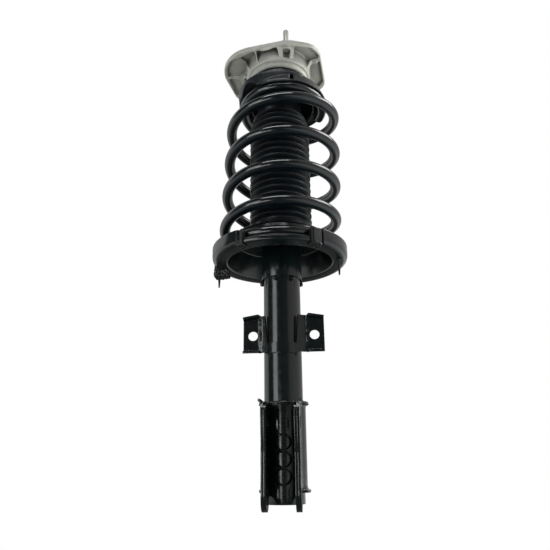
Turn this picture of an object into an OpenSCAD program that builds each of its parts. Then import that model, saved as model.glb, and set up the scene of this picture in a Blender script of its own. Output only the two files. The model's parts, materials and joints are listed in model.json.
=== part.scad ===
// MacPherson strut assembly: damper, coil spring, dust boot, bearing and top mount.
// Origin: centre of the stud circle on the mount's top face. +Z runs up along the piston rod,
// +X along the knuckle bolts, and the knuckle bracket opens towards -Y. Millimetres.

/* [Strut tube] */
// Outside diameter of the strut tube
tube_d = 51; // [50:0.5:52]
// Wall of the strut tube
tube_wall = 2.2; // [2:0.1:2.6]
// Depth of the tube's top edge below the mount face
tube_top = 258; // [256:1:262]
// Depth of the tube's bottom edge below the mount face
tube_bottom = 660; // [656:1:664]

/* [Damper] */
// Diameter of the piston rod
rod_d = 22; // [20:1:22]
// Diameter of the rod's threaded top end
stub_d = 14; // [12:1:14]
// Bore diameter of the inner pressure tube
bore_d = 34; // [34:1:36]
// How far the damper closes from full droop to the bump stop
travel = 150; // [120:5:150]

/* [Coil spring] */
// Diameter of the spring wire
wire_d = 15.5; // [13:0.5:15.5]
// Radius of the wire's centre line in the lower turns
coil_r = 81; // [80.5:0.5:81.5]
// Radius of the wire's centre line in the upper turns
coil_r_top = 79.3; // [78:0.1:80]
// Radius of the wire's centre line in the small end turn at the top
pigtail_r = 60.5; // [60:0.5:60.5]
// Rise of each free turn
coil_pitch = 54.5; // [54:0.5:55]

/* [Dust boot] */
// Outside radius of the folds
boot_r = 45.7; // [43:0.1:46]
// Depth of each fold
fold_depth = 6; // [4:0.5:7]
// Number of folds
folds = 18; // [14:1:20]

/* [Lower spring seat] */
// Outside radius of the seat
seat_r = 96.5; // [96:0.5:98]
// Sideways offset of the seat from the tube
seat_shift = -2.2; // [-2.5:0.1:-1.8]
// Depth of the seat's underside below the mount face
seat_bottom = 343; // [342:0.5:344]
// Thickness of the pressed steel
sheet = 3; // [3:0.1:3.2]

/* [Upper spring seat] */
// Outside radius of the skirt
cap_r = 69; // [69:0.5:72]
// Sideways offset of the skirt from the rod
cap_shift = 6; // [4:0.5:6]

/* [Top mount] */
// Turn of the mount against the knuckle bracket
mount_turn = 5; // [-180:1:180]
// Diameter of the stud circle
stud_pcd = 104; // [102:1:106]
// Thread diameter of the studs
stud_d = 8; // [8:1:8]
// Height of the stud tips above the mount face
stud_h = 27.5; // [20:0.5:32]
// Depth of the mount's outer rim
rim_h = 7; // [6:0.5:8]

/* [Knuckle bracket] */
// Inside gap between the two ears
knuckle_gap = 34; // [32:1:34]
// Thickness of each plate
plate = 3.2; // [3:0.1:3.4]
// Diameter of the knuckle bolt holes
knuckle_hole_d = 16.4; // [14:0.1:18]
// Distance between the two bolt holes
knuckle_pitch = 84; // [80:1:86]
// Distance from the tube's centre to the bolt holes
knuckle_reach = 50; // [48:1:52]

/* [Link bracket] */
// Distance between the two link holes
link_pitch = 83; // [80:1:86]
// Sideways shift of the two ears from the tube
link_shift = 2.5; // [0:0.5:3]
// Diameter of the link holes
link_hole_d = 13; // [10:0.5:14]

/* [Hidden] */

$fn = 96;
slack = 0.05;                     // radial running clearance of the rod
touch = 0.4;                      // clearance between parts that move against each other
tube_r = tube_d / 2;
tube_in = tube_r - tube_wall;
rod_r = rod_d / 2;
stub_r = stub_d / 2;
bore_r = bore_d / 2;

// Depths of the mount and bearing stack, all below the mount face
hub_root = 23.5;
hub_bottom = 33;
head_top = 5;                     // depths of the stud heads
head_bottom = 8.5;
head_r = 5.6;
shoulder = 39;                    // the rod's shoulder, which clamps the mount's sleeve
race_r = 34;                      // pitch radius of the bearing balls
ball_r = 3;
ball_z = -46;
ball_count = 28;
deck_top = 58;                    // top of the upper seat's deck
deck_r = 62;                      // radius of the deck's edge, above the skirt
skirt_bottom = 78;
lobe_shift = 10;                  // the skirt has a fuller corner on one side
lobe_angle = -137;
coil_top = 77;                    // top of the highest turn, where it bears on its rubber

// Depths of the damper's stack
guide_top = tube_top + 6;
guide_bottom = guide_top + 22;
collar_top = guide_bottom + 12;
piston_top = collar_top + 80;
piston_h = 20;
valve_top = tube_bottom - 24;

// Lower seat
floor_top = -(seat_bottom - sheet);
pad_top = floor_top + 7;          // top of the rubber under the wire
hat_top = -303;
wall_top = -321;
wall_gap = [-122, -49];           // where the outer wall is cut away
gap_edge = -336;                  // height of the cut
// Nubs of the rubber that poke through the seat's floor, as [angle, radius, length]
nibs = [[-9, 84.5, 23], [171, 91.5, 26]];

// Knuckle bracket
bracket_top = -538;
inner_top = -540;
wrap_bottom = -645;
ear_bottom = -666;
ear_front = -70;
lower_hole = ear_bottom + 18;
hole_z = [lower_hole, lower_hole + knuckle_pitch];

// Link bracket
link_top = -422;
link_bottom = -472;
link_hole_z = -449;

// Small shape helpers

function polar(r, a) = [r * cos(a), r * sin(a)];

// Points along an arc about [cx, cy], from angle a0 to a1
function arc(cx, cy, r, a0, a1, n = 6) =
    [for (i = [0:n]) [cx, cy] + polar(r, a0 + (a1 - a0) * i / n)];

// Outline round a ring of circles [x, y, r] listed anticlockwise, joined by straight tangents
function tangent_angle(p, q) =
    let (d = [q[0] - p[0], q[1] - p[1]])
    atan2(d[1], d[0]) - acos((p[2] - q[2]) / norm(d));
function lobe_points(before, lobe, after, n) =
    let (a0 = tangent_angle(before, lobe), span = (tangent_angle(lobe, after) - a0 + 720) % 360)
    arc(lobe[0], lobe[1], lobe[2], a0, a0 + span, n);
function outline(lobes, n = 12) =
    let (k = len(lobes))
    [for (i = [0:k - 1]) each lobe_points(lobes[(i + k - 1) % k], lobes[i], lobes[(i + 1) % k], n)];

// A round ring of rectangular section
module ring(r_in, r_out, z0, z1) {
    translate([0, 0, z0])
        difference() {
            cylinder(r = r_out, h = z1 - z0);
            translate([0, 0, -1]) cylinder(r = r_in, h = z1 - z0 + 2);
        }
}

// A wedge from angle a0 to a1, for cutting or keeping part of a ring
module wedge(a0, a1, r, z0, z1) {
    steps = max(1, ceil((a1 - a0) / 45));
    translate([0, 0, z0])
        linear_extrude(z1 - z0)
            polygon(concat([[0, 0]], [for (i = [0:steps]) polar(r * 1.2, a0 + (a1 - a0) * i / steps)]));
}

// A block given by its lowest and highest corners
module block(lo, hi) {
    translate(lo) cube(hi - lo);
}

// Top mount

// Corners of the housing's plan as circles [x, y, r], anticlockwise
mount_lobes = [[33.6, -24.7, 33.2], [53, 32, 25], [-54.6, 57.4, 20.9], [-31.7, 6.9, 57], [13.9, -26, 36.7]];
stud_angles = [-77, 43, 163];
shank_r = stud_d / 2 + 0.55;      // plain shank, pressed into the housing
boss_r = 7.8;
pocket_floor = -3;
// Pockets in the housing's underside, each listed by its corners
pockets = [
    [[-31.5, -44, 3], [-5, -52.5, 3.5], [0, -43, 3], [-27, -32, 3]],
    [[28, -51, 4], [46, -47, 5], [58, -33, 5], [45, -27, 4], [25, -37, 4]],
    [[53, -14, 4], [65, -17, 4], [70, 4, 4], [71, 24, 4], [66, 36, 4], [56, 18, 4]],
    [[-56, -31, 3], [-39, -41, 3], [-36, -31, 3], [-47, -23, 3]],
    [[-79, -4, 4], [-73, -20, 4], [-63, -27, 4], [-52, -17, 4], [-56, 6, 4], [-79, 9, 4]],
    [[-77, 22, 4], [-66, 25, 4], [-62, 42, 4], [-64, 58, 4], [-69, 58, 4]],
    [[-52, 56, 4], [-36, 52, 4], [-14, 56, 4], [-16, 64, 4], [-48, 70, 4]],
    [[0, 55, 4], [26, 50, 4], [40, 50, 4], [38, 54, 4], [0, 62, 4]]
];

function shrink(lobes, by) = [for (l = lobes) [l[0], l[1], l[2] - by]];

module at_studs() {
    for (a = stud_angles)
        translate(polar(stud_pcd / 2, a)) children();
}

module pockets_plan() {
    difference() {
        intersection() {
            polygon(outline(shrink(mount_lobes, 3)));
            union()
                for (p = pockets)
                    polygon(outline(p, 6));
        }
        at_studs() circle(r = boss_r);
        circle(r = 49);
    }
}

module mount_housing() {
    color([0.62, 0.62, 0.58])
        rotate([0, 0, mount_turn])
            difference() {
                union() {
                    translate([0, 0, -rim_h]) linear_extrude(rim_h) polygon(outline(mount_lobes));
                    translate([0, 0, -hub_root]) cylinder(r1 = 48, r2 = 57, h = hub_root - rim_h);
                    translate([0, 0, -hub_bottom]) cylinder(r1 = 45, r2 = 47.5, h = hub_bottom - hub_root);
                    translate([0, 0, -head_bottom])
                        linear_extrude(head_bottom) at_studs() circle(r = boss_r);
                }
                translate([0, 0, -40]) linear_extrude(40 + pocket_floor) pockets_plan();
                translate([0, 0, -50]) linear_extrude(60) at_studs() circle(r = shank_r + 0.05);
                translate([0, 0, -50]) linear_extrude(50 - head_top) at_studs() circle(r = head_r + 0.2);
                translate([0, 0, -28]) cylinder(r = 32, h = 40);
                translate([0, 0, -50]) cylinder(r = 25, h = 60);
            }
}

module mount_studs() {
    color([0.75, 0.75, 0.73])
        rotate([0, 0, mount_turn]) {
            translate([0, 0, -head_bottom])
                linear_extrude(head_bottom - head_top) at_studs() circle(r = head_r);
            translate([0, 0, -head_top]) linear_extrude(head_top) at_studs() circle(r = shank_r);
            linear_extrude(stud_h - 1) at_studs() circle(r = stud_d / 2);
            at_studs()
                translate([0, 0, stud_h - 1]) cylinder(r1 = stud_d / 2, r2 = stud_d / 2 - 1, h = 1);
        }
}

module mount_rubber() {
    color([0.08, 0.08, 0.08])
        rotate_extrude()
            polygon(concat(
                [[14, -26], [32, -28], [32, -8]],
                arc(28, -8.2, 4, 0, 90), arc(17, -7.2, 3, 90, 180)
            ));
}

module mount_sleeve() {
    color([0.55, 0.55, 0.55])
        difference() {
            union() {
                translate([0, 0, -36]) cylinder(r = 14, h = 32);
                translate([0, 0, -36]) cylinder(r = 22, h = 3);
            }
            translate([0, 0, -50]) cylinder(r = stub_r + slack, h = 60);
        }
}

module rebound_washer() {
    color([0.7, 0.68, 0.55])
        difference() {
            union() {
                translate([0, 0, -4]) cylinder(r = 20, h = 3);
                translate([0, 0, -4]) rotate_extrude() polygon([[19, 0], [29, 4], [29, 7], [19, 3]]);
            }
            translate([0, 0, -10]) cylinder(r = stub_r + slack, h = 20);
        }
}

module rod_nut() {
    color([0.72, 0.7, 0.6])
        difference() {
            union() {
                translate([0, 0, -1]) cylinder(r = 14, h = 2);
                translate([0, 0, 1]) cylinder(r = 12.1, h = 10, $fn = 6);
            }
            translate([0, 0, -5]) cylinder(r = stub_r + slack, h = 30);
        }
}

// Strut bearing

module groove(z) {
    translate([0, 0, z])
        rotate_extrude()
            translate([race_r, 0]) circle(r = ball_r + 0.06, $fn = 48);
}

module bearing_cap() {
    color([0.05, 0.05, 0.055])
        union() {
            ring(26, 42.5, -41, -hub_bottom);
            ring(40.5, 42.5, -48, -41);
        }
}

module bearing_upper_race() {
    color([0.7, 0.7, 0.7])
        difference() {
            ring(28.5, 39, ball_z + 1, -41);
            groove(ball_z);
        }
}

module bearing_balls() {
    color([0.8, 0.8, 0.8])
        for (i = [0:ball_count - 1])
            translate([each polar(race_r, i * 360 / ball_count), ball_z]) sphere(r = ball_r, $fn = 32);
}

module bearing_cage() {
    color([0.3, 0.22, 0.1])
        difference() {
            ring(race_r - 4.2, race_r + 4.2, ball_z - 0.7, ball_z + 0.7);
            for (i = [0:ball_count - 1])
                translate([each polar(race_r, i * 360 / ball_count), ball_z - 2])
                    cylinder(r = ball_r + 0.12, h = 4, $fn = 32);
        }
}

module bearing_lower_race() {
    color([0.7, 0.7, 0.7])
        difference() {
            ring(28.5, 39, -52, ball_z - 1);
            groove(ball_z);
        }
}

// Upper spring seat: a deck with a bearing collar and a flared skirt
module seat_bell(grow) {
    rotate_extrude()
        polygon(concat(
            [[cap_r - 3 + grow, -skirt_bottom], [cap_r + grow, -skirt_bottom]],
            arc(deck_r - 4 + grow, -deck_top - 4, 4, 15, 90, 5),
            [[0, -deck_top], [0, -deck_top - 4]],
            arc(deck_r - 6 + grow, -deck_top - 6, 2, 90, 15, 4)
        ));
}

// A fuller corner of the skirt, above the opening where the wire comes out
module seat_lobe() {
    difference() {
        intersection() {
            translate(polar(lobe_shift, lobe_angle))
                rotate_extrude()
                    polygon(concat(
                        [[0, -skirt_bottom], [cap_r - lobe_shift + 1.5, -skirt_bottom]],
                        arc(deck_r - 4, -deck_top - 4, 4, 0, 90, 5), [[0, -deck_top]]
                    ));
            wedge(lobe_angle - 80, lobe_angle + 80, 90, -skirt_bottom - 1, 0);
        }
        translate([0, 0, -skirt_bottom - 1])
            cylinder(r1 = cap_r - 3, r2 = deck_r - 4, h = skirt_bottom - deck_top - 3);
    }
}

module upper_spring_seat() {
    color([0.045, 0.045, 0.05])
        difference() {
            union() {
                ring(27, 40.1, -deck_top, -52);
                ring(39.2, 40.1, -53, -49);
                translate([cap_shift, 0, 0]) {
                    seat_bell(0);
                    seat_lobe();
                    intersection() {
                        seat_bell(2);
                        wedge(-113, -78, 90, -skirt_bottom, -deck_top);
                    }
                    intersection() {
                        ring(cap_r - 0.5, cap_r + 2, -skirt_bottom - 3.5, -skirt_bottom + 1);
                        wedge(-113, -78, 90, -90, -deck_top);
                    }
                }
            }
            translate([0, 0, -100]) cylinder(r = 27, h = 80);
            translate([cap_shift, 0, 0])
                difference() {
                    union() {
                        wedge(-76.5, -72, 90, -skirt_bottom + 3, -deck_top - 6);
                        rotate([0, 90, -134])
                            translate([skirt_bottom + 8, 0, 0]) cylinder(r = 19, h = 90);
                    }
                    translate([0, 0, -100]) cylinder(r = cap_r - 10, h = 80);
                }
        }
}

module upper_isolator() {
    color([0.03, 0.03, 0.03])
        translate([cap_shift, 0, 0])
            rotate_extrude()
                polygon([
                    [46, -deck_top - 4.2], [46, -coil_top - 7], [49, -coil_top - 9], [51.8, -coil_top - 6],
                    [52.4, -coil_top], [64.3, -coil_top], [56, -deck_top - 4.2]
                ]);
}

// Coil spring

turns = 5.5;                      // total turns, ends included
first_azimuth = -155;             // where the lower wire end lies
foot = 0.368;                     // turn at which the wire leaves the lower seat
ease = 0.25;                      // half width of the smooth start and end of the rise, in turns
taper = 4.6;                      // turn at which the wire starts to run in to the small end turn
low_x = -2;                       // sideways shift of the lower turns and of the upper turns
high_x = 7.2;
lean_x = 5.7;                     // how far the free turns lean sideways and forwards
lean_y = 5;
coil_foot_z = pad_top + wire_d / 2 + 0.1;
coil_head_z = -coil_top - wire_d / 2;
head = foot + (coil_head_z - coil_foot_z) / coil_pitch;

function step01(t) = t <= 0 ? 0 : t >= 1 ? 1 : t * t * (3 - 2 * t);
// Zero below -w, t above w, and a parabola between
function soft(t, w) = t <= -w ? 0 : t >= w ? t : pow(t + w, 2) / (4 * w);
function coil_level(u) = coil_foot_z + coil_pitch * (soft(u - foot, ease) - soft(u - head, ease));
function coil_radius(u) =
    coil_r + (coil_r_top - coil_r) * step01(u / 4.3)
    - (coil_r_top - pigtail_r) * step01((u - taper) / 0.35);
function coil_rise(u) = (coil_level(u) - coil_foot_z) / (coil_head_z - coil_foot_z);
function coil_centre(t) = low_x + (high_x - low_x) * t - (high_x - cap_shift) * step01((t - 0.85) / 0.15);
function coil_lean(t, a) =
    (lean_x * cos(a) + lean_y * (1 + sin(a))) * step01(t / 0.2) * step01((1 - t) / 0.4);
function coil_point(u) =
    let (a = first_azimuth + 360 * u, t = coil_rise(u), r = coil_radius(u))
    [coil_centre(t) + r * cos(a), r * sin(a), coil_level(u) - coil_lean(t, a - mount_turn)];

// A round bar swept along a list of points
module sweep(points, r, sides) {
    n = len(points);
    function along(i) =
        let (d = points[min(i + 1, n - 1)] - points[max(i - 1, 0)]) d / norm(d);
    function across(i) = let (s = cross(along(i), [0, 0, 1])) s / norm(s);
    rings = [for (i = [0:n - 1], k = [0:sides - 1])
        let (a = 360 * k / sides, s = across(i), v = cross(s, along(i)))
        points[i] + r * (cos(a) * s + sin(a) * v)];
    sides_list = [for (i = [0:n - 2], k = [0:sides - 1])
        let (m = (k + 1) % sides)
        [i * sides + k, i * sides + m, (i + 1) * sides + m, (i + 1) * sides + k]];
    first_end = [[for (k = [0:sides - 1]) sides - 1 - k]];
    last_end = [[for (k = [0:sides - 1]) (n - 1) * sides + k]];
    polyhedron(concat(rings, [points[0], points[n - 1]]), concat(sides_list, first_end, last_end));
}

module coil_spring() {
    color([0.04, 0.04, 0.045])
        sweep([for (i = [0:200]) coil_point(turns * i / 200)], wire_d / 2, 12);
}

// Dust boot, a folded sleeve from the upper seat down to the lower seat

boot_top = -deck_top - 4;
neck_bottom = -100;
fold_bottom = -284;
boot_foot = hat_top + touch;

function fold_r(t) = boot_r - fold_depth / 2 + fold_depth / 2 * cos(360 * (t * folds) + 180);
fold_steps = folds * 6;
fold_wall = [for (i = [0:fold_steps])
    let (t = i / fold_steps)
    [fold_r(t) - (t < 0.12 ? 6 * (1 - t / 0.12) : 0), neck_bottom + (fold_bottom - neck_bottom) * t]];

module dust_boot() {
    color([0.03, 0.03, 0.03])
        rotate_extrude()
            polygon(concat(
                [[35, boot_top], [35, neck_bottom + 4]], fold_wall,
                [[39.5, fold_bottom - 3], [39.5, boot_foot], [31, boot_foot], [31, boot_foot + 3]],
                [[37.2, boot_foot + 3], [37.2, fold_bottom - 3]],
                [for (i = [fold_steps:-1:0]) fold_wall[i] - [1.8, 0]],
                [[33, neck_bottom + 4], [33, boot_top]]
            ));
}

module bump_stop() {
    color([0.62, 0.56, 0.34])
        rotate_extrude()
            polygon(concat(
                [[rod_r + 0.5, -shoulder - 1.8], [22, -shoulder - 1.8], [22, -60]],
                arc(19.5, -63, 3, 90, -90), arc(19.5, -69.5, 3, 90, -90), arc(18.5, -76, 3, 90, -90),
                arc(17.5, -82.5, 3, 90, -90), arc(16.5, -89, 3, 90, -90),
                [[14.5, -103], [rod_r + 0.5, -103]]
            ));
}

module bump_stop_cup() {
    color([0.5, 0.5, 0.5])
        union() {
            ring(stub_r + slack, 24.4, -shoulder, -36);
            ring(22.6, 24.4, -54, -shoulder);
        }
}

// Rod and piston

module piston_rod() {
    color([0.8, 0.8, 0.82])
        union() {
            translate([0, 0, -piston_top]) cylinder(r = rod_r, h = piston_top - shoulder);
            translate([0, 0, -shoulder]) cylinder(r = stub_r, h = shoulder + 13);
            translate([0, 0, 13]) cylinder(r1 = stub_r, r2 = stub_r - 1.5, h = 1.5);
            translate([0, 0, -piston_top - 36]) cylinder(r = 6, h = 36);
        }
}

module rebound_collar() {
    color([0.5, 0.5, 0.5])
        ring(rod_r, rod_r + 4.5, -collar_top - 5, -collar_top);
}

module rebound_bumper() {
    color([0.75, 0.7, 0.55])
        ring(rod_r, rod_r + 4, -collar_top, -guide_bottom - touch);
}

module piston() {
    color([0.42, 0.42, 0.42])
        difference() {
            ring(6, bore_r - 0.6, -piston_top - piston_h, -piston_top);
            ring(bore_r - 1.6, bore_r, -piston_top - 15, -piston_top - 5);
            for (a = [0:45:315])
                translate([each polar(11, a), -piston_top - 25]) cylinder(r = 1.6, h = 30, $fn = 24);
        }
}

module piston_band() {
    color([0.2, 0.22, 0.2])
        ring(bore_r - 1.6, bore_r - slack, -piston_top - 15, -piston_top - 5);
}

module valve_shims() {
    color([0.7, 0.7, 0.7])
        union()
            for (i = [0:3])
                translate([0, 0, -piston_top - piston_h - 0.8 * i])
                    ring(6, 13 - 1.5 * i, -0.8, 0);
}

module piston_nut() {
    color([0.6, 0.6, 0.6])
        difference() {
            translate([0, 0, -piston_top - piston_h - 13.2]) cylinder(r = 10, h = 10, $fn = 6);
            translate([0, 0, -piston_top - 40]) cylinder(r = 6, h = 60);
        }
}

module rod_guide() {
    color([0.45, 0.45, 0.45])
        difference() {
            union() {
                translate([0, 0, -guide_bottom + 10])
                    cylinder(r = tube_in, h = guide_bottom - guide_top - 10);
                translate([0, 0, -guide_bottom]) cylinder(r = bore_r, h = 12);
            }
            translate([0, 0, -guide_bottom - 1]) cylinder(r = 12.5, h = 40);
        }
}

module guide_bushing() {
    color([0.72, 0.55, 0.3])
        ring(rod_r + slack, 12.5, -guide_bottom, -guide_top);
}

module rod_seal() {
    color([0.1, 0.1, 0.1])
        ring(rod_r + slack, tube_in, -guide_top, -tube_top - 1);
}

module striker_cap() {
    color([0.5, 0.5, 0.5])
        union() {
            ring(tube_r, tube_r + 1.8, -tube_top - 14, -tube_top);
            ring(rod_r + 2, tube_r + 1.8, -tube_top, -tube_top + 2);
        }
}

module pressure_tube() {
    color([0.6, 0.6, 0.62])
        ring(bore_r, bore_r + 1.4, -valve_top - 8, -guide_bottom + 10);
}

module base_valve() {
    color([0.5, 0.5, 0.5])
        difference() {
            union() {
                translate([0, 0, -valve_top]) cylinder(r = bore_r, h = 6);
                translate([0, 0, -valve_top - 8]) cylinder(r = bore_r, h = 8);
                translate([0, 0, -valve_top - 14]) cylinder(r = bore_r + 1.4, h = 6);
            }
            for (a = [0:60:300])
                translate([each polar(10, a), -valve_top - 20]) cylinder(r = 1.8, h = 30, $fn = 24);
        }
}

module strut_tube() {
    color([0.03, 0.035, 0.035])
        union() {
            ring(tube_in, tube_r, -tube_bottom, -tube_top);
            ring(tube_in - 6, tube_in + 0.5, -tube_top - 1, -tube_top);
        }
}

module base_cup() {
    color([0.03, 0.035, 0.035])
        translate([0, 0, -tube_bottom + 2])
            difference() {
                cylinder(r = tube_in, h = 8);
                translate([0, 0, -1]) cylinder(r = tube_in - 4, h = 4);
            }
}

// Lower spring seat: outer wall, floor and hat pressed from one sheet, with a sleeve round the tube

seat_section = concat(
    [[seat_r, wall_top]],
    arc(seat_r - 10.5, -seat_bottom + 10.5, 10.5, 0, -90), arc(74.6, -seat_bottom + 4, 4, -90, -170),
    arc(63, hat_top - sheet - 3, 3, 0, 90), [[0, hat_top - sheet], [0, hat_top]],
    arc(62.5, hat_top - 6.5, 6.5, 90, 10), arc(75, floor_top + 1.5, 1.5, -170, -90),
    arc(seat_r - 10.5, floor_top + 7.5, 7.5, -90, 0), [[seat_r - sheet, wall_top]]
);

module lower_spring_seat() {
    color([0.03, 0.035, 0.035])
        difference() {
            union() {
                translate([seat_shift, 0, 0])
                    difference() {
                        rotate_extrude() polygon(seat_section);
                        wedge(wall_gap[0], wall_gap[1], 130, gap_edge, 0);
                        for (n = nibs)
                            translate([each polar(n[1], n[0]), -seat_bottom - 5]) cylinder(r = 2.5, h = 9);
                    }
                translate([0, 0, -372]) cylinder(r = tube_r + sheet, h = 372 + hat_top);
            }
            translate([0, 0, -400]) cylinder(r = tube_r, h = 120);
        }
}

module seat_weld() {
    color([0.05, 0.05, 0.05])
        for (a = [-106, -54, 20, 72, 124, 176])
            rotate([0, 0, a])
                intersection() {
                    translate([0, 0, -377])
                        difference() {
                            cylinder(r1 = tube_r + 0.4, r2 = tube_r + 3.6, h = 5);
                            translate([0, 0, -1]) cylinder(r = tube_r, h = 7);
                        }
                    wedge(-8, 8, 40, -380, -370);
                }
}

module lower_isolator() {
    color([0.025, 0.025, 0.025])
        translate([seat_shift, 0, 0]) {
            difference() {
                rotate_extrude()
                    polygon([
                        [78, floor_top], [86, floor_top], [88.5, floor_top + 0.7], [90.5, floor_top + 1.9],
                        [92.2, floor_top + 3.8], [92.8, floor_top + 5.5], [92.8, pad_top], [78, pad_top]
                    ]);
                wedge(wall_gap[1], wall_gap[1] + 1, 110, -400, -300);
            }
            intersection() {
                union() {
                    ring(90, 99.4, gap_edge + 0.1, -323);
                    ring(90, 93, pad_top - 1, -335);
                    ring(96.7, 99.4, -seat_bottom - 3, -335);
                    ring(85, 99.4, -seat_bottom - 3, -seat_bottom - 0.1);
                }
                union() {
                    wedge(wall_gap[0] + 1, wall_gap[0] + 7, 110, -400, -300);
                    wedge(wall_gap[1] - 12, wall_gap[1] - 1, 110, -400, -300);
                }
            }
            intersection() {
                ring(77, 98, -seat_bottom - 11, -seat_bottom);
                wedge(nibs[1][0] - 5.5, nibs[1][0] + 5, 110, -400, -300);
            }
            for (n = nibs)
                translate([each polar(n[1], n[0]), -seat_bottom]) {
                    translate([0, 0, -1]) cylinder(r = 2.5, h = sheet + 1.5, $fn = 32);
                    translate([0, 0, -6]) cylinder(r1 = 2.2, r2 = 4.2, h = 6, $fn = 32);
                    translate([0, 0, -n[2]]) cylinder(r1 = 1.2, r2 = 2.2, h = n[2] - 6, $fn = 32);
                }
        }
}

// Link bracket: a strap round the tube's front with a flanged ear on each side

module link_ear() {
    drop = 4;
    difference() {
        rotate([90, 0, 0])
            union() {
                translate([0, 0, 12])
                    linear_extrude(3)
                        polygon([[21, link_bottom], [54.5, link_bottom], [54.5, link_top - drop], [21, link_top]]);
                translate([0, 0, 12])
                    linear_extrude(11)
                        polygon([
                            [21, link_top - 3], [54.5, link_top - 3 - drop], [54.5, link_top - drop], [21, link_top]
                        ]);
                translate([0, 0, 12])
                    linear_extrude(11)
                        polygon([
                            [21, link_bottom], [54.5, link_bottom], [54.5, link_bottom + 3], [21, link_bottom + 3]
                        ]);
            }
        translate([link_pitch / 2, 0, link_hole_z])
            rotate([90, 0, 0]) cylinder(r = link_hole_d / 2, h = 40);
    }
}

module link_bracket() {
    color([0.03, 0.035, 0.035])
        difference() {
            union() {
                intersection() {
                    ring(tube_r, tube_r + sheet, link_bottom - 2, link_top);
                    block([-60, -60, link_bottom - 2], [60, 4, link_top]);
                }
                translate([link_shift, 0, 0]) {
                    link_ear();
                    mirror([1, 0, 0]) link_ear();
                }
            }
            cylinder(r = tube_r, h = 2000, center = true);
            block([-20, -60, link_bottom + 11], [20, 0, 0]);
        }
}

// Knuckle bracket

// Side view of the bracket as [y, z] points
bracket_side = concat(
    [[40, bracket_top]],
    arc(ear_front + 14, bracket_top - 14, 14, 90, 180), [[ear_front, -575], [ear_front + 4, -587]],
    [[ear_front + 4, -628], [ear_front + 1.8, -638]],
    arc(-knuckle_reach, lower_hole, 18, 180, 300), [[-16, wrap_bottom], [40, wrap_bottom]]
);

module side_prism() {
    rotate([90, 0, 90]) linear_extrude(200, center = true) polygon(bracket_side);
}

module knuckle_holes() {
    for (z = hole_z)
        translate([-100, -knuckle_reach, z]) rotate([0, 90, 0]) cylinder(r = knuckle_hole_d / 2, h = 200);
}

module knuckle_bracket_outer() {
    inner = knuckle_gap / 2 + plate;
    lip = 4.5;
    color([0.03, 0.035, 0.035])
        difference() {
            union() {
                difference() {
                    intersection() {
                        side_prism();
                        union() {
                            cylinder(r = tube_r + plate, h = 2000, center = true);
                            block([-inner - plate, ear_front, -700], [inner + plate, 0, -500]);
                        }
                    }
                    block([-inner, -100, -700], [inner, 0, -500]);
                }
                for (z = [bracket_top - plate, wrap_bottom])
                    difference() {
                        ring(tube_r, tube_r + plate + lip, z, z + plate);
                        block([-inner, -100, z - 1], [inner, 0, z + 10]);
                        block([-100, -100, z - 1], [100, -18, z + 10]);
                    }
                for (s = [0, 1])
                    mirror([s, 0, 0])
                        block([inner, -54, bracket_top - plate], [inner + plate + lip, -16, bracket_top]);
            }
            cylinder(r = tube_r, h = 2000, center = true);
            knuckle_holes();
        }
}

module knuckle_bracket_inner() {
    inner = knuckle_gap / 2;
    color([0.03, 0.035, 0.035])
        difference() {
            union() {
                intersection() {
                    ring(tube_r, tube_r + plate, -660, inner_top);
                    block([-inner - plate, -40, -660], [inner + plate, 0, inner_top]);
                }
                intersection() {
                    side_prism();
                    difference() {
                        block([-inner - plate, ear_front, -700], [inner + plate, -18, inner_top]);
                        block([-inner, -100, -701], [inner, 0, -500]);
                    }
                }
                for (z = [-587, -607.3, -627.6])
                    intersection() {
                        ring(tube_r + plate - 0.5, tube_r + plate + 0.8, z - 12, z + 12);
                        translate([0, 0, z]) rotate([90, 0, 0]) cylinder(r = 9.3, h = 60);
                    }
            }
            cylinder(r = tube_r, h = 2000, center = true);
            knuckle_holes();
        }
}

module bracket_weld() {
    color([0.05, 0.05, 0.05])
        difference() {
            union() {
                intersection() {
                    translate([0, 0, inner_top]) cylinder(r1 = tube_r + 2.6, r2 = tube_r + 0.2, h = 5);
                    wedge(-127, -53, 40, -560, -520);
                }
                intersection() {
                    translate([0, 0, bracket_top]) cylinder(r1 = tube_r + 2.6, r2 = tube_r + 0.2, h = 5);
                    wedge(20, 160, 60, -560, -520);
                }
            }
            cylinder(r = tube_r, h = 2000, center = true);
        }
}

mount_housing();
mount_studs();
mount_rubber();
mount_sleeve();
rebound_washer();
rod_nut();
bearing_cap();
bearing_upper_race();
bearing_balls();
bearing_cage();
bearing_lower_race();
upper_spring_seat();
upper_isolator();
coil_spring();
dust_boot();
bump_stop();
bump_stop_cup();
piston_rod();
rebound_collar();
rebound_bumper();
piston();
piston_band();
valve_shims();
piston_nut();
rod_guide();
guide_bushing();
rod_seal();
striker_cap();
pressure_tube();
base_valve();
strut_tube();
base_cup();
lower_spring_seat();
seat_weld();
lower_isolator();
link_bracket();
knuckle_bracket_outer();
knuckle_bracket_inner();
bracket_weld();
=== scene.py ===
"""Looks of the suspension strut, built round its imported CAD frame.

Shapes are written in millimetres in the CAD's own frame (z = 0 is the mount's top face) and turned
into metres when a mesh is made.
"""
import json
import math

import bmesh
import bpy
import numpy as np
from mathutils import Matrix, Vector, noise


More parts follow.
